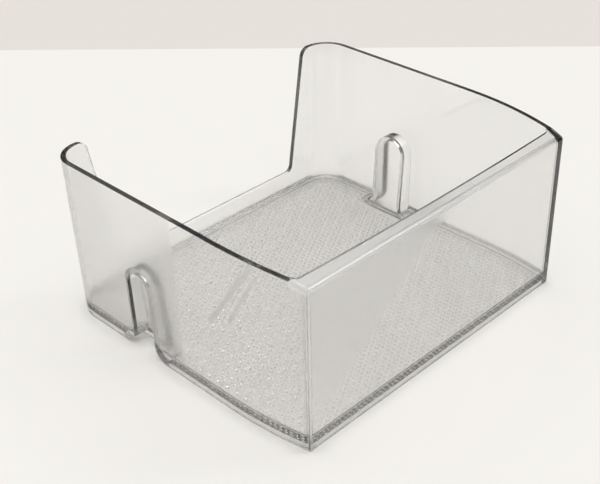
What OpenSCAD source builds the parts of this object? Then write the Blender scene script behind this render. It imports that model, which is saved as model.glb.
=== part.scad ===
// Clear moulded bin that hangs on the inside of a refrigerator door.
// One shell: a floor raised on a short skirt, two drafted side walls that draw in
// towards the front, a tall front wall with an inward rim, a low rear wall between
// two slanted ears, and a lug pocket in each side wall that is open at its foot.
// X runs across the bin, the front wall faces -Y, and Z is up. The origin is on the
// resting plane, in the middle of the bin's width and depth.

/* [Overall size] */
// Width over the side walls at the resting edge
base_width = 210.3; // [170:0.1:300]
// Depth from the rear face to the front face at the resting edge
base_depth = 186.7; // [165:0.1:260]
// Height of the side walls above the resting plane
bin_height = 100; // [80:0.5:140]

/* [Walls and floor] */
// Thickness of the walls, the floor and the pockets
wall_t = 3.05; // [2:0.05:4]
// Outward lean of the two side walls, in degrees
side_draft = 1.36; // [0.2:0.02:3]
// Outward lean of the front wall, in degrees
front_draft = 0.2; // [0.1:0.05:2]
// Height of the open skirt under the floor
skirt_height = 2.7; // [1.5:0.1:8]
// Radius where the floor turns up into the walls
floor_fillet_r = 3.2; // [0.6:0.1:6]

/* [Plan corners] */
// Outer radius of the two upright rear corners
rear_corner_r = 17.4; // [12:0.1:28]
// Outer radius of the two upright front corners
front_corner_r = 1; // [0.6:0.1:8]
// Inner radius of the two upright front corners
inner_corner_r = 3; // [1:0.1:8]
// Radius of the long curve that draws each side wall in
side_curve_r = 240; // [160:1:400]
// Length of that curve behind the front face at the resting edge
side_curve_run = 51.1; // [30:0.1:70]
// How far further back the curve starts for each millimetre of height
side_curve_lean = 0.098; // [0:0.002:0.15]

/* [Top edge and rim] */
// Length of the level top edge, from the rear face
level_edge_run = 109.4; // [60:0.1:140]
// Radius of the gentle fall of the top edge towards the front
edge_fall_r = 852; // [500:1:2000]
// Reach of the rim behind the front face, at its ends
rim_reach = 9.35; // [7:0.05:16]
// How much nearer to the front face the rim's free edge is in the middle
rim_bow = 1.65; // [0.5:0.05:3]
// Fall of the rim's top towards the front face, in degrees
rim_slope = 12.5; // [5:0.5:30]
// Thickness of the rim at its free edge
rim_edge_t = 2.2; // [1:0.05:4]
// Radius of the edge between the rim's top and the front face
rim_nose_r = 2.4; // [1:0.1:3.5]
// Plan radius where the rim meets the side walls
rim_corner_r = 5; // [2:0.1:8]
// Radius under the rim, where it meets the front wall
rim_root_r = 1.6; // [0.8:0.1:3]

/* [Rear wall and ears] */
// Height of the low rear wall
rear_wall_height = 17.4; // [14:0.1:40]
// Width of an ear at the height of the low rear wall
ear_foot_width = 35; // [34:0.1:60]
// Lean of the ears' free edges from upright, in degrees
ear_lean = 9.5; // [0:0.5:11]
// Radius where an ear's edge meets the low rear wall
ear_foot_r = 5; // [2:0.1:12]
// Radius of an ear's upper corner
ear_tip_r = 6.6; // [2:0.1:12]

/* [Lug pockets] */
// Distance from the rear face to a pocket's nearer side
pocket_setback = 58; // [40:0.1:70]
// Width of a pocket
pocket_width = 16.8; // [12:0.1:26]
// Height of a pocket's round top
pocket_height = 51.5; // [40:0.1:62]
// Depth of a pocket from the outer face, at the resting edge
pocket_depth = 10.2; // [8:0.1:16]
// Lean of a pocket's end wall away from the bin's inside, in degrees
pocket_draft = 4.5; // [0:0.5:5]
// Radius of the lead-in at the foot of a pocket's rear side
lead_in_rear_r = 12; // [6:0.5:14]
// Radius of the lead-in at the foot of a pocket's front side
lead_in_front_r = 9; // [6:0.5:16]

/* [Finish] */
// Segments in a quarter circle of a lofted corner
corner_steps = 8; // [4:1:12]
// Segments in a long curve
curve_steps = 12; // [6:1:20]

/* [Hidden] */
// Thickness of the slices that a loft is made of
slice_t = 0.01;
// How far a cut runs past the face that it leaves by
past = 1;

floor_top = skirt_height + wall_t;
pocket_r = pocket_width / 2;
pocket_mid = pocket_setback + pocket_r;
pocket_spring = pocket_height - pocket_r;

// Half the width, the depth and the start of the side curve at height z
function half_width(z) = base_width / 2 + z * tan(side_draft);
function front_depth(z) = base_depth + z * tan(front_draft);
function curve_start(z) = base_depth - side_curve_run - z * side_curve_lean;

// Height of the side walls' top edge at a distance y from the rear face
function edge_height(y) =
    bin_height - edge_fall_r + sqrt(pow(edge_fall_r, 2) - pow(max(y - level_edge_run, 0), 2));

// Top and underside of the rim at a distance y from the rear face
rim_back = front_depth(bin_height) - rim_reach;
rim_root = front_depth(bin_height) - wall_t;
rim_growth = (wall_t - rim_edge_t) / (rim_root - rim_back);
function rim_top(y) = edge_height(rim_back) - (y - rim_back) * tan(rim_slope);
function rim_under(y) = rim_top(y) - rim_edge_t - (y - rim_back) * rim_growth;

// The front face ends where the rounded nose of the rim begins
nose_turn = 90 - rim_slope;
nose_foot = rim_top(front_depth(bin_height)) - rim_nose_r * tan(nose_turn / 2);
overall_depth = front_depth(nose_foot);

// Points along an arc of radius r about c, from angle a to angle b
function arc(c, r, a, b, steps) =
    [for (i = [0:steps]) let (t = a + (b - a) * i / steps) c + r * [cos(t), sin(t)]];
function mirrored(points) =
    [for (i = [len(points) - 1:-1:0]) [-points[i][0], points[i][1]]];

// Right half of the outline at height z, moved inwards by inset, from rear to front.
// Each corner is tangent to the faces beside it.
function half_outline(z, inset, corner_r) =
    let (
        w = half_width(z) - inset,
        d = front_depth(z) - inset,
        rear_r = max(rear_corner_r - inset, corner_r),
        curve_r = side_curve_r - inset,
        start = curve_start(z),
        turn = asin((d - corner_r - start) / (curve_r - corner_r)),
        corner_x = w - curve_r + (curve_r - corner_r) * cos(turn)
    )
    concat(
        arc([w - rear_r, -inset - rear_r], rear_r, 90, 0, corner_steps),
        arc([w - curve_r, -start], curve_r, 0, -turn, curve_steps),
        arc([corner_x, corner_r - d], corner_r, -turn, -90, corner_steps)
    );
function outline(z, inset, corner_r) =
    let (half = half_outline(z, inset, corner_r)) concat(half, mirrored(half));

// One thin slice of the bin's form, from which the lofts are drawn
module slice(z, inset, corner_r) {
    translate([0, 0, z])
        linear_extrude(slice_t)
            polygon(outline(z, inset, corner_r));
}

// The bin's outer form, before its top edge is cut
module outer_form() {
    hull() {
        slice(0, 0, front_corner_r);
        slice(bin_height + past, 0, front_corner_r);
    }
}

// The space inside the bin, with the round turn from the floor to the walls
module inner_form() {
    hull() {
        for (i = [0:corner_steps]) {
            turn = 90 * i / corner_steps;
            rise = floor_fillet_r * (1 - cos(turn));
            slice(floor_top + rise, wall_t + floor_fillet_r * (1 - sin(turn)), inner_corner_r);
        }
        slice(bin_height + 2 * past, wall_t, inner_corner_r);
    }
}

// The hollow under the floor, inside the skirt
module skirt_hollow() {
    translate([0, 0, -past])
        linear_extrude(skirt_height + past)
            polygon(outline(0, wall_t, inner_corner_r));
}

// Extrudes a side view along X. It is drawn with [distance from the rear face, height].
module across(from_x, to_x) {
    translate([from_x, 0, 0])
        rotate([90, 0, 90])
            linear_extrude(to_x - from_x)
                mirror([1, 0])
                    children();
}

// Side view of all that lies under the top edge and the rim's top
module under_top_edge() {
    fall_turn = asin((rim_back - level_edge_run) / edge_fall_r);
    polygon(concat(
        [[-past, -past], [-past, bin_height]],
        arc([level_edge_run, bin_height - edge_fall_r], edge_fall_r, 90, 90 - fall_turn, curve_steps),
        arc([overall_depth - rim_nose_r, nose_foot], rim_nose_r, nose_turn, 0, corner_steps),
        [[overall_depth + past, nose_foot], [overall_depth + past, -past]]
    ));
}

// Side view of the rim: a wedge that is thickest where it joins the front wall
module rim_section() {
    back = rim_back - 2 * rim_corner_r;
    root = rim_root - rim_root_r;
    polygon(concat(
        [[rim_root + past, bin_height + past], [back, bin_height + past], [back, rim_under(back)]],
        arc([root, rim_under(root) - rim_root_r], rim_root_r, nose_turn, 0, corner_steps),
        [[rim_root + past, rim_under(root) - rim_root_r]]
    ));
}

// The mouth of the bin, up to the rim's bowed free edge, with round front corners
module mouth() {
    chord = half_width(bin_height);
    bow_r = (pow(chord, 2) + pow(rim_bow, 2)) / (2 * rim_bow);
    bow_turn = asin(chord / bow_r);
    bow_mid = [0, bow_r - rim_back - rim_bow];
    translate([0, 0, rim_under(rim_root) - rim_root_r - past])
        linear_extrude(bin_height)
            offset(r = rim_corner_r, $fn = 4 * corner_steps)
                offset(delta = -rim_corner_r)
                    intersection() {
                        polygon(outline(bin_height + past, wall_t, inner_corner_r));
                        polygon(concat(
                            arc(bow_mid, bow_r, 270 - bow_turn, 270 + bow_turn, curve_steps),
                            [[chord, 0], [-chord, 0]]
                        ));
                    }
}

// The inward rim along the top of the front wall
module rim() {
    difference() {
        across(-half_width(bin_height), half_width(bin_height)) rim_section();
        mouth();
    }
}

// The gap between the ears, above the low rear wall
module ear_gap() {
    foot_x = half_width(rear_wall_height) - ear_foot_width;
    tip_x = foot_x + (bin_height - rear_wall_height) * tan(ear_lean);
    tuck = tan((90 - ear_lean) / 2);
    half = concat(
        arc([foot_x - ear_foot_r * tuck, rear_wall_height + ear_foot_r],
            ear_foot_r, -90, -ear_lean, corner_steps),
        arc([tip_x + ear_tip_r * tuck, bin_height - ear_tip_r],
            ear_tip_r, 180 - ear_lean, 90, corner_steps),
        [[tip_x + ear_tip_r * tuck, bin_height + past]]
    );
    translate([0, past, 0])
        rotate([90, 0, 0])
            linear_extrude(rear_corner_r + past)
                polygon(concat(half, mirrored(half)));
}

// Side view of the lead-in at one side of a pocket's foot, which rolls outwards
module lead_in(r, grow) {
    difference() {
        translate([-past, -past]) square([r + past, r + past]);
        translate([r, r]) circle(r - grow);
    }
}

// Side view of a pocket with its lead-ins, grown outwards by the thickness of its shell
module pocket_view(grow) {
    translate([pocket_mid, pocket_spring]) circle(pocket_r + grow);
    translate([pocket_setback - grow, -past])
        square([pocket_width + 2 * grow, pocket_spring + past]);
    translate([pocket_setback, 0]) mirror([1, 0]) lead_in(lead_in_rear_r, grow);
    translate([pocket_setback + pocket_width, 0]) lead_in(lead_in_front_r, grow);
}

// Everything on the outer side of a pocket's leaning end wall, on the right
module beyond_end(depth) {
    translate([half_width(0) - depth, 0, 0])
        rotate([0, pocket_draft, 0])
            translate([0, -base_depth, -bin_height])
                cube([base_width, base_depth, 2 * bin_height]);
}

// A pocket on the right: its hollow where grow is 0, and its solid where grow is a wall
module pocket(grow) {
    intersection() {
        across(base_width / 4, half_width(bin_height) + past) pocket_view(grow);
        beyond_end(pocket_depth + grow);
    }
}

module both_sides() {
    for (side = [0, 1])
        mirror([side, 0, 0])
            children();
}

// The bin in one piece, with its rear face at Y = 0
module shell() {
    difference() {
        intersection() {
            outer_form();
            across(-base_width, base_width) under_top_edge();
        }
        difference() {
            inner_form();
            rim();
            both_sides() pocket(wall_t);
        }
        difference() {
            skirt_hollow();
            both_sides() pocket(wall_t);
        }
        ear_gap();
        both_sides() pocket(0);
    }
}

module door_shelf() {
    color([0.80, 0.81, 0.80, 0.5])
        translate([0, overall_depth / 2, 0])
            shell();
}

door_shelf();
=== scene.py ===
import math

import bmesh
import bpy
from mathutils import Matrix, Vector


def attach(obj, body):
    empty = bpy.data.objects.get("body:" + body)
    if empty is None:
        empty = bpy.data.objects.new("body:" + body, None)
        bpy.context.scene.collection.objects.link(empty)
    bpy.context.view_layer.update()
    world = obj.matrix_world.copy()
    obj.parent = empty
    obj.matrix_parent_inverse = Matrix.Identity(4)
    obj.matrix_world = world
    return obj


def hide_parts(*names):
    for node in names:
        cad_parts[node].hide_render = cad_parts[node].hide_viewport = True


NODE = "door_shelf"
MM = 0.001

# Camera: where it stands, how it is turned, and its lens
CAMERA_PLACE = Vector((-0.3849, -0.3815, 0.3800))
CAMERA_AZIMUTH = math.radians(44.354)
CAMERA_DOWN = math.radians(32.539)
CAMERA_ROLL = math.radians(-1.610)
CAMERA_LENS = 67.45
SENSOR_WIDTH = 36.0

# Plastic: how it bends light, and the grey that light takes on along its way through
PLASTIC_IOR = 1.57
PLASTIC_TINT = (0.872, 0.870, 0.868)
PLASTIC_DENSITY = 180.0

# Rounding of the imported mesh's sharp edges, and the shading of its bends
TOP = 100.0 * MM
WELD = 0.001 * MM
FLAT_ANGLE = math.radians(0.5)
SHARP_ANGLE = math.radians(28)
EDGE_ROUND = 0.3 * MM
EDGE_STEPS = 2
SMOOTH_ANGLE = math.radians(24)
NORMAL_WEIGHT = 100

# The solid's own sizes that the finish follows
SIDE_DRAFT = math.radians(1.36)
BASE_HALF_WIDTH = 105.15 * MM
REAR_FACE = 93.51 * MM
REAR_CORNER = 17.4 * MM
WALL = 3.05 * MM
FILLET = 3.2 * MM
FLOOR_TOP = 5.75 * MM
FLOOR_UNDER = 2.7 * MM
FRONT_INNER = -90.3 * MM
POCKET_MID = 27.11 * MM
POCKET_SPRING = 43.1 * MM
POCKET_OUTER = 11.45 * MM
POCKET_END = 91.9 * MM
POCKET_DRAFT = math.radians(4.5)

# Frosted inner faces of the rear half, found within a thin skin
FROST_FRONT = -8.0 * MM
FROST_FULL = -4.0 * MM
FROST_FOOT = 0.5 * MM
FROST_ROUGHNESS = 0.24
FROST_SKIN = 0.15 * MM
POCKET_END_SKIN = 2 * FROST_SKIN

# Floor's top, and the foot that the bin stands on
FLOOR_ROUGHNESS = 0.12
FOOT_HEIGHT = 0.25 * MM
FOOT_ROUGHNESS = 0.5

# Fine haze on the rim
RIM_LOW = 88.0 * MM
RIM_BACK = -83.5 * MM
RIM_ROUGHNESS = 0.12

# Haze inside the left end of the front wall, up to a slanted line
HAZE_SLANT = 1.1
HAZE_EDGE = -100.0 * MM
HAZE_FADE = 12.0 * MM
HAZE_FOOT = 9.0 * MM
HAZE_DEPTH = 1.2 * MM
HAZE_ROUGHNESS = 0.16

# Wiped streaks on the left wall: each one's two ends in y and z, and half its width
STREAK_SIDE = -99.0 * MM
STREAK_ROUGHNESS = 0.3
STREAKS = (((-62.0 * MM, 96.0 * MM), (-31.3 * MM, 51.0 * MM), 1.4 * MM),
           ((-64.2 * MM, 91.0 * MM), (-45.7 * MM, 57.7 * MM), 1.0 * MM))

# Dull left front corner, with a painted highlight that makes it pale
CORNER_BACK = -92.3 * MM
CORNER_SIDE = -98.5 * MM
CORNER_FOOT = 6.5 * MM
CORNER_ROUGHNESS = 0.35
CORNER_PAINTED_HIGHLIGHT = 0.5

# Painted highlight on the left end of the rim, made pale by letting less light pass: its upright
# face, below a top that slopes along y
END_BACK = -83.6 * MM
END_TOP = 97.26 * MM
END_TOP_AT = -84.19 * MM
END_SLOPE = 0.2217
END_THICK = 3.3 * MM
END_FACING = -0.5
END_PAINTED_HIGHLIGHT = 0.7

# Painted highlight: a pale strip on top of that end, along the wall's slanting side
END_SIDE = -100.06 * MM
END_SIDE_AT = -91.63 * MM
END_SIDE_SLOPE = -0.236
END_TOP_WIDTH = 2.4 * MM
END_TOP_PAINTED_HIGHLIGHT = 0.55

# Painted highlight on the round front of the rim, which fades out to the right
NOSE_FRONT = -0.30
NOSE_UP = 0.25
NOSE_FULL = 15.0 * MM
NOSE_END = 60.0 * MM
NOSE_PAINTED_HIGHLIGHT = 0.35

# Painted light on the top of the rear wall, pale over the shade of its edge: from and to in z
# and in y
REAR_TOP = (17.1 * MM, 17.7 * MM)
REAR_TOP_SPAN = (88.0 * MM, 92.5 * MM)
REAR_TOP_PAINTED_LIGHT = 0.85

# From this share of the normal on, a face counts as facing up
FACING_UP = 0.5

# Raised pattern of the floor's underside: three bars in each cell of a six-sided lattice,
# and a dome on each of its points
LATTICE = 6.94 * MM
LATTICE_REACH = 300.0 * MM
BAR_LENGTH = 2.5 * MM
BAR_WIDTH = 1.2 * MM
BAR_HEIGHT = 0.6 * MM
BAR_SINK = 0.1 * MM
BAR_END_STEPS = 3
DOME_WIDTH = 1.6 * MM
DOME_STRETCH = 1.01
GATE_WIDTH = 2.6 * MM
GATE_PLACE = (0.0, -65.4 * MM)
GATE_CLEAR = 3.2 * MM
PATTERN_HALF_WIDTH = 97.3 * MM
PATTERN_FRONT = -89.6 * MM
PATTERN_REAR = 85.4 * MM
PATTERN_CORNER = 10.0 * MM
POCKET_CLEAR_X = 87.0 * MM
POCKET_CLEAR_FRONT = 9.5 * MM
POCKET_CLEAR_REAR = 43.5 * MM

# Profile of a bar: how far each ring stands out of the floor, and its share of the width
BAR_PROFILE = ((-BAR_SINK, 1.0), (BAR_HEIGHT * 0.6, 0.8), (BAR_HEIGHT, 0.45))

# Table and backdrop
TABLE_COLOUR = (0.905, 0.893, 0.868, 1.0)
BACKDROP_COLOUR = (0.785, 0.753, 0.716, 1.0)
MATTE_ROUGHNESS = 0.9
MATTE_SPECULAR = 0.1
HORIZON_AZIMUTH = math.radians(47.5)
TABLE_REACH = 0.905
TABLE_SIZE = 6.0
TABLE_TOP = -0.15 * MM
BACKDROP_DROP = 0.25

# Light: a bright ceiling over darker surroundings, and one small bright spot
ZENITH_LIGHT = 1.67
HORIZON_LIGHT = 0.2
LIGHT_FROM = 0.60
LIGHT_FULL = 0.78
WORLD_TINT = (1.0, 0.99, 0.975)
SPOT_TOWARDS = (0.6, -0.382, 0.703)
SPOT_LIGHT = 6.0
SPOT_INNER = math.radians(4.5)
SPOT_OUTER = math.radians(7.5)

# How often light is followed on, so that it gets through every clear wall
ALL_BOUNCES = 48
CLEAR_BOUNCES = 40
MATTE_BOUNCES = 8


def node_of(tree, kind):
    """The first node of that kind in a node tree."""
    return next(n for n in tree.nodes if n.type == kind)


class Sums:
    """Sums on the sockets of one node tree; a value is a socket or a plain number."""

    def __init__(self, tree):
        self.tree = tree

    def __call__(self, operation, *values):
        """One maths node."""
        node = self.tree.nodes.new("ShaderNodeMath")
        node.operation = operation
        for slot, value in zip(node.inputs, values):
            if isinstance(value, (int, float)):
                slot.default_value = value
            else:
                self.tree.links.new(value, slot)
        return node.outputs["Value"]

    def every(self, operation, values):
        """The same sum over all values, from the first to the last."""
        total = values[0]
        for value in values[1:]:
            total = self(operation, total, value)
        return total

    def product(self, *values):
        """All values multiplied. Tests are 1 or 0, so it also says that all of them hold."""
        return self.every("MULTIPLY", values)

    def largest(self, *values):
        """The largest of the values."""
        return self.every("MAXIMUM", values)

    def length(self, *legs):
        """How far two steps at right angles lead."""
        first, second = (self("POWER", self("ABSOLUTE", leg), 2.0) for leg in legs)
        return self("SQRT", self("ADD", first, second))

    def line(self, value, start, slope, height):
        """Height of a straight line that has that height at the start."""
        return self("ADD", self("MULTIPLY", self("SUBTRACT", value, start), slope), height)

    def between(self, value, low, high):
        """1 between the two limits, 0 outside them."""
        return self.product(self("GREATER_THAN", value, low), self("LESS_THAN", value, high))

    def ramp(self, value, start, end, low=0.0, high=1.0, shape="SMOOTHSTEP"):
        """A number that goes from low to high while the value goes from start to end."""
        node = self.tree.nodes.new("ShaderNodeMapRange")
        node.interpolation_type = shape
        for name, number in (("From Min", start), ("From Max", end),
                             ("To Min", low), ("To Max", high)):
            node.inputs[name].default_value = number
        self.tree.links.new(value, node.inputs["Value"])
        return node.outputs["Result"]

    def split(self, vector):
        """The x, y and z of a vector."""
        node = self.tree.nodes.new("ShaderNodeSeparateXYZ")
        self.tree.links.new(vector, node.inputs["Vector"])
        return tuple(node.outputs)


def inner_faces(sums, x, y, z):
    """1 on the inner faces of the walls, on the bend at their foot and on the pockets."""
    upright_x = sums("SUBTRACT", sums("ABSOLUTE", x),
                     sums("MULTIPLY", z, math.tan(SIDE_DRAFT)))
    past_x = sums("MAXIMUM", sums("SUBTRACT", upright_x, BASE_HALF_WIDTH - REAR_CORNER), 0.0)
    past_y = sums("MAXIMUM", sums("SUBTRACT", y, REAR_FACE - REAR_CORNER), 0.0)
    reach = sums.length(past_x, past_y)
    wall = sums("COMPARE", reach, REAR_CORNER - WALL, FROST_SKIN)

    past_fillet = sums("MAXIMUM", sums("SUBTRACT", reach, REAR_CORNER - WALL - FILLET), 0.0)
    below_fillet = sums("MINIMUM", sums("SUBTRACT", z, FLOOR_TOP + FILLET), 0.0)
    bend = sums.product(
        sums("COMPARE", sums.length(past_fillet, below_fillet), FILLET, FROST_SKIN),
        sums("GREATER_THAN", past_fillet, FROST_SKIN))

    arch = sums.length(sums("SUBTRACT", y, POCKET_MID),
                       sums("MAXIMUM", sums("SUBTRACT", z, POCKET_SPRING), 0.0))
    sleeve = sums("COMPARE", arch, POCKET_OUTER, FROST_SKIN)
    leaning_x = sums("SUBTRACT", sums("ABSOLUTE", x),
                     sums("MULTIPLY", z, math.tan(POCKET_DRAFT)))
    end = sums.product(sums("COMPARE", leaning_x, POCKET_END, POCKET_END_SKIN),
                       sums("LESS_THAN", arch, POCKET_OUTER))
    pocket = sums.product(sums.largest(sleeve, end), sums("GREATER_THAN", z, FLOOR_TOP))
    return sums.largest(bend, wall, pocket)


def streak(sums, x, y, z, start, end, half):
    """Roughness of one straight streak on the left wall, 0 beside it."""
    run = math.dist(start, end)
    run_y, run_z = (end[0] - start[0]) / run, (end[1] - start[1]) / run
    past_y, past_z = sums("SUBTRACT", y, start[0]), sums("SUBTRACT", z, start[1])
    along = sums("ADD", sums("MULTIPLY", past_y, run_y), sums("MULTIPLY", past_z, run_z))
    across = sums("SUBTRACT", sums("MULTIPLY", past_y, run_z), sums("MULTIPLY", past_z, run_y))
    return sums.product(sums("COMPARE", along, run / 2, run / 2),
                        sums("COMPARE", across, 0.0, half),
                        sums("LESS_THAN", x, STREAK_SIDE), STREAK_ROUGHNESS)


def roughness(sums, x, y, z):
    """Frosted inner faces behind, a dull floor, foot and corner, haze and wiped streaks."""
    frost = sums.product(inner_faces(sums, x, y, z), sums.ramp(y, FROST_FRONT, FROST_FULL),
                         sums("GREATER_THAN", z, FROST_FOOT), FROST_ROUGHNESS)
    foot = sums.product(sums("LESS_THAN", z, FOOT_HEIGHT), FOOT_ROUGHNESS)
    floor = sums.product(sums("COMPARE", z, FLOOR_TOP, FROST_SKIN), FLOOR_ROUGHNESS)
    rim = sums.product(sums("GREATER_THAN", z, RIM_LOW), sums("LESS_THAN", y, RIM_BACK),
                       RIM_ROUGHNESS)
    corner = sums.product(sums("LESS_THAN", y, CORNER_BACK), sums("LESS_THAN", x, CORNER_SIDE),
                          CORNER_ROUGHNESS)
    slant = sums("SUBTRACT", x, sums("MULTIPLY", z, HAZE_SLANT))
    haze = sums.product(sums.ramp(slant, HAZE_EDGE, HAZE_EDGE - HAZE_FADE, high=HAZE_ROUGHNESS),
                        sums("COMPARE", y, FRONT_INNER, HAZE_DEPTH),
                        sums("GREATER_THAN", z, HAZE_FOOT))
    streaks = [streak(sums, x, y, z, *ends) for ends in STREAKS]
    return sums.largest(frost, foot, floor, rim, haze, corner, *streaks)


def passing_light(sums, x, y, z, side, front, up):
    """Share of the light that passes: less on the edges where highlights and light are painted
    pale.
    """
    on_rim = sums("LESS_THAN", y, END_BACK)
    depth = sums("SUBTRACT", sums.line(y, END_TOP_AT, END_SLOPE, END_TOP), z)
    near_top = sums("LESS_THAN", depth, END_THICK)
    # Painted highlight: the upright face of the rim's left end turns pale
    end = sums.product(sums("LESS_THAN", side, END_FACING), on_rim, near_top, END_PAINTED_HIGHLIGHT)
    strip = sums.line(y, END_SIDE_AT, END_SIDE_SLOPE, END_SIDE + END_TOP_WIDTH)
    facing_up = sums("GREATER_THAN", up, FACING_UP)
    # Painted highlight: a pale strip on top of the rim's left end
    end_top = sums.product(sums("LESS_THAN", x, strip), facing_up, on_rim, near_top,
                           END_TOP_PAINTED_HIGHLIGHT)
    # Painted highlight: a pale band along the rim's round front
    nose = sums.product(sums("LESS_THAN", front, NOSE_FRONT), sums("GREATER_THAN", up, NOSE_UP),
                        sums("GREATER_THAN", z, RIM_LOW),
                        sums.ramp(x, NOSE_END, NOSE_FULL, shape="LINEAR"), NOSE_PAINTED_HIGHLIGHT)
    # Painted highlight: the left front corner turns pale
    corner = sums.product(sums("LESS_THAN", y, CORNER_BACK), sums("LESS_THAN", x, CORNER_SIDE),
                          sums("GREATER_THAN", z, CORNER_FOOT), CORNER_PAINTED_HIGHLIGHT)
    # Painted light: the top of the rear wall turns pale over the shade of its edge
    rear = sums.product(sums.between(z, *REAR_TOP), sums.between(y, *REAR_TOP_SPAN),
                        facing_up, REAR_TOP_PAINTED_LIGHT)
    return sums("SUBTRACT", 1.0, sums.largest(end, end_top, nose, corner, rear))


def clear_plastic():
    """Clear grey plastic that is darker along a longer path, with its haze and its painted
    highlights and light.
    """
    material = bpy.data.materials.new("clear_plastic")
    material.use_nodes = True
    tree = material.node_tree
    sums = Sums(tree)
    coordinates = tree.nodes.new("ShaderNodeTexCoord")
    place = sums.split(coordinates.outputs["Object"])
    facing = sums.split(coordinates.outputs["Normal"])
    shader = node_of(tree, "BSDF_PRINCIPLED")
    shader.inputs["Base Color"].default_value = (1.0, 1.0, 1.0, 1.0)
    shader.inputs["IOR"].default_value = PLASTIC_IOR
    shader.inputs["Transmission Weight"].default_value = 1.0
    # Less light passes where highlights and light are painted pale
    tree.links.new(passing_light(sums, *place, *facing), shader.inputs["Transmission Weight"])
    tree.links.new(roughness(sums, *place), shader.inputs["Roughness"])
    absorption = tree.nodes.new("ShaderNodeVolumeAbsorption")
    absorption.inputs["Color"].default_value = (*PLASTIC_TINT, 1.0)
    absorption.inputs["Density"].default_value = PLASTIC_DENSITY
    output = node_of(tree, "OUTPUT_MATERIAL")
    tree.links.new(absorption.outputs["Volume"], output.inputs["Volume"])
    return material


def rounded(mesh):
    """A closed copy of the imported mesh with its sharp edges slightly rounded."""
    shape = bmesh.new()
    shape.from_mesh(mesh)
    bmesh.ops.remove_doubles(shape, verts=shape.verts, dist=WELD)
    bmesh.ops.dissolve_limit(shape, angle_limit=FLAT_ANGLE, verts=shape.verts, edges=shape.edges)
    sharp = [e for e in shape.edges if e.is_manifold and e.calc_face_angle(0) > SHARP_ANGLE]
    bmesh.ops.bevel(shape, geom=sharp, offset=EDGE_ROUND, offset_type="OFFSET",
                    segments=EDGE_STEPS, profile=0.5, affect="EDGES", clamp_overlap=False)
    shape.normal_update()
    # The new corners stay within the bin's height
    for corner in shape.verts:
        corner.co.z = min(max(corner.co.z, 0.0), TOP)
    result = bpy.data.meshes.new("shelf_clear")
    shape.to_mesh(result)
    shape.free()
    return result


def within_pattern(x, y):
    """True where the floor has its pattern: clear of walls, corners, pockets and gate mark."""
    if abs(x) > PATTERN_HALF_WIDTH or not PATTERN_FRONT < y < PATTERN_REAR:
        return False
    if math.hypot(x - GATE_PLACE[0], y - GATE_PLACE[1]) < GATE_CLEAR:
        return False
    if abs(x) > POCKET_CLEAR_X and POCKET_CLEAR_FRONT < y < POCKET_CLEAR_REAR:
        return False
    past_x = abs(x) - (PATTERN_HALF_WIDTH - PATTERN_CORNER)
    past_y = y - (PATTERN_REAR - PATTERN_CORNER)
    return min(past_x, past_y) < 0 or math.hypot(past_x, past_y) < PATTERN_CORNER


def bar(shape, x, y, turn, length=BAR_LENGTH, width=BAR_WIDTH):
    """One low bar with rounded ends and sloping sides, under the floor."""
    ends = []
    for end in (0, 1):
        for step in range(BAR_END_STEPS + 1):
            angle = math.pi * (end + step / BAR_END_STEPS) - math.pi / 2
            ends.append((angle, 1 - 2 * end))
    straight = (length - width) / 2
    rings = []
    for height, share in BAR_PROFILE:
        radius = width / 2 * share
        ring = []
        for angle, side in ends:
            along = side * straight + radius * math.cos(angle)
            across = radius * math.sin(angle)
            ring.append(shape.verts.new((x + along * math.cos(turn) - across * math.sin(turn),
                                         y + along * math.sin(turn) + across * math.cos(turn),
                                         FLOOR_UNDER - height)))
        rings.append(ring)
    for low, high in zip(rings, rings[1:]):
        for i in range(len(low)):
            j = (i + 1) % len(low)
            shape.faces.new((high[i], high[j], low[j], low[i]))
    shape.faces.new(list(reversed(rings[-1])))
    shape.faces.new(rings[0])


def dome(shape, x, y, width):
    """One low dome: a bar that is a hair longer than wide, so that its ends don't meet."""
    bar(shape, x, y, 0.0, width * DOME_STRETCH, width)


def pattern():
    """The gate mark and all bars and domes of the floor as one mesh."""
    shape = bmesh.new()
    first = Vector((LATTICE * math.cos(math.pi / 6), LATTICE / 2))
    second = Vector((0.0, LATTICE))
    count = int(LATTICE_REACH / LATTICE)
    dome(shape, *GATE_PLACE, GATE_WIDTH)
    for i in range(-count, count + 1):
        for j in range(-count, count + 1):
            point = first * i + second * j
            for shift, turn in ((first / 2, math.pi / 6), (second / 2, math.pi / 2),
                                ((second - first) / 2, math.pi * 5 / 6)):
                spot = point + shift
                if within_pattern(spot.x, spot.y):
                    bar(shape, spot.x, spot.y, turn)
            if within_pattern(point.x, point.y):
                dome(shape, point.x, point.y, DOME_WIDTH)
    mesh = bpy.data.meshes.new("floor_pattern")
    shape.to_mesh(mesh)
    shape.free()
    return mesh


def smoothed(mesh):
    """The mesh, shaded smoothly over its bends and sharply at its edges."""
    shape = bmesh.new()
    shape.from_mesh(mesh)
    for edge in shape.edges:
        edge.smooth = not edge.is_manifold or edge.calc_face_angle(0) < SMOOTH_ANGLE
    for face in shape.faces:
        face.smooth = True
    shape.to_mesh(mesh)
    shape.free()
    return mesh


def applied(piece):
    """The mesh that the piece's modifiers make; the piece keeps none of them."""
    bpy.context.view_layer.update()
    seen = bpy.context.evaluated_depsgraph_get()
    mesh = bpy.data.meshes.new_from_object(piece.evaluated_get(seen))
    piece.modifiers.clear()
    return mesh


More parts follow.
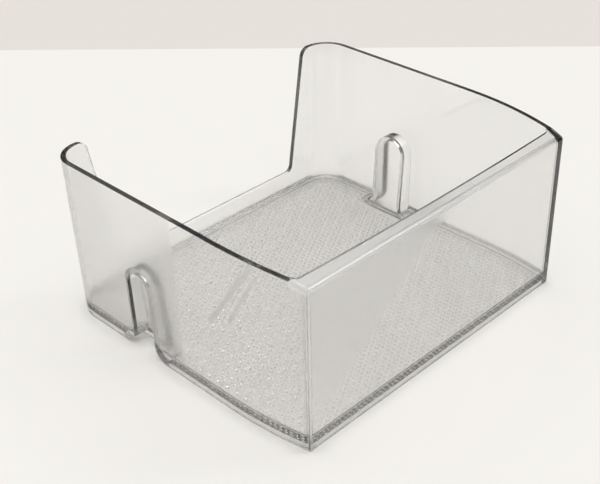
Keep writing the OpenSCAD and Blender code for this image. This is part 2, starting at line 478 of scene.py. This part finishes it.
def shelf_piece(node):
    """The moulding with rounded edges and the raised floor pattern, as one closed mesh."""
    piece = bpy.data.objects.new("shelf_clear", rounded(node.data))
    raised = bpy.data.objects.new("floor_pattern", pattern())
    for thing in (piece, raised):
        bpy.context.scene.collection.objects.link(thing)
    join = piece.modifiers.new("pattern", "BOOLEAN")
    join.operation = "UNION"
    join.solver = "MANIFOLD"
    join.object = raised
    piece.data = smoothed(applied(piece))
    bpy.data.objects.remove(raised)
    even = piece.modifiers.new("even", "WEIGHTED_NORMAL")
    even.mode = "FACE_AREA"
    even.weight = NORMAL_WEIGHT
    even.keep_sharp = True
    piece.data = applied(piece)
    piece.data.materials.clear()
    piece.data.materials.append(clear_plastic())
    return piece


def matte(name, colour):
    """Plain matte surface of one colour, for the surroundings."""
    material = bpy.data.materials.new(name)
    material.use_nodes = True
    shader = node_of(material.node_tree, "BSDF_PRINCIPLED")
    shader.inputs["Base Color"].default_value = colour
    shader.inputs["Roughness"].default_value = MATTE_ROUGHNESS
    shader.inputs["Specular IOR Level"].default_value = MATTE_SPECULAR
    return material


def plane(name, corners, colour):
    """One flat matte face with four corners, which isn't part of the object."""
    mesh = bpy.data.meshes.new(name)
    mesh.from_pydata(corners, [], [(0, 1, 2, 3)])
    mesh.materials.append(matte(name, colour))
    thing = bpy.data.objects.new(name, mesh)
    bpy.context.scene.collection.objects.link(thing)


def surroundings():
    """A pale table that ends behind the object, and a lower backdrop past its edge."""
    ahead = Vector((math.sin(HORIZON_AZIMUTH), math.cos(HORIZON_AZIMUTH), 0))
    aside = Vector((ahead.y, -ahead.x, 0))
    foot = Vector((CAMERA_PLACE.x, CAMERA_PLACE.y, TABLE_TOP))
    far = foot + ahead * TABLE_REACH
    near = far - ahead * TABLE_SIZE
    side = aside * TABLE_SIZE / 2
    plane("table", [near - side, near + side, far + side, far - side], TABLE_COLOUR)
    drop = Vector((0, 0, -BACKDROP_DROP))
    corners = [foot + drop + TABLE_SIZE * (ahead * a + aside * b)
               for a, b in ((-1, -1), (-1, 1), (1, 1), (1, -1))]
    plane("backdrop", corners, BACKDROP_COLOUR)


def light():
    """A wide bright ceiling over darker surroundings, and one small bright spot in it."""
    world = bpy.data.worlds.new("studio")
    bpy.context.scene.world = world
    world.use_nodes = True
    tree = world.node_tree
    sums = Sums(tree)
    towards = tree.nodes.new("ShaderNodeTexCoord").outputs["Generated"]
    ceiling = sums.ramp(sums.split(towards)[2], LIGHT_FROM, LIGHT_FULL,
                        HORIZON_LIGHT, ZENITH_LIGHT)
    aim = tree.nodes.new("ShaderNodeVectorMath")
    aim.operation = "DOT_PRODUCT"
    tree.links.new(towards, aim.inputs[0])
    aim.inputs[1].default_value = Vector(SPOT_TOWARDS).normalized()
    spot = sums.ramp(aim.outputs["Value"], math.cos(SPOT_OUTER), math.cos(SPOT_INNER),
                     high=SPOT_LIGHT)
    background = node_of(tree, "BACKGROUND")
    background.inputs["Color"].default_value = (*WORLD_TINT, 1.0)
    tree.links.new(sums("ADD", ceiling, spot), background.inputs["Strength"])


def camera():
    """The camera at the photograph's viewing angle."""
    data = bpy.data.cameras.new("camera")
    data.lens = CAMERA_LENS
    data.sensor_width = SENSOR_WIDTH
    ahead = Vector((math.sin(CAMERA_AZIMUTH) * math.cos(CAMERA_DOWN),
                    math.cos(CAMERA_AZIMUTH) * math.cos(CAMERA_DOWN),
                    -math.sin(CAMERA_DOWN)))
    right = Vector((math.cos(CAMERA_AZIMUTH), -math.sin(CAMERA_AZIMUTH), 0))
    up = right.cross(ahead)
    turn = Matrix.Rotation(-CAMERA_ROLL, 3, ahead)
    axes = Matrix((turn @ right, turn @ up, -ahead)).transposed()
    thing = bpy.data.objects.new("camera", data)
    thing.matrix_world = Matrix.Translation(CAMERA_PLACE) @ axes.to_4x4()
    bpy.context.scene.collection.objects.link(thing)
    bpy.context.scene.camera = thing


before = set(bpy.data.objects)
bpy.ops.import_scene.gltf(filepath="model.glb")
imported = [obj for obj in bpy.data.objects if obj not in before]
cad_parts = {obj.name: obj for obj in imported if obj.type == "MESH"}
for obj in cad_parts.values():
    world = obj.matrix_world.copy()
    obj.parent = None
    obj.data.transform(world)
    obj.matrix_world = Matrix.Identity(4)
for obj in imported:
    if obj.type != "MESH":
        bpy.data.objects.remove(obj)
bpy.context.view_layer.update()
shelf = shelf_piece(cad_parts[NODE])
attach(shelf, "root")
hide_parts(NODE)
camera()
surroundings()
light()
scene = bpy.context.scene
scene.view_settings.view_transform = "Standard"
scene.cycles.max_bounces = ALL_BOUNCES
scene.cycles.diffuse_bounces = MATTE_BOUNCES
scene.cycles.blur_glossy = 0.0
scene.cycles.glossy_bounces = CLEAR_BOUNCES
scene.cycles.transmission_bounces = CLEAR_BOUNCES
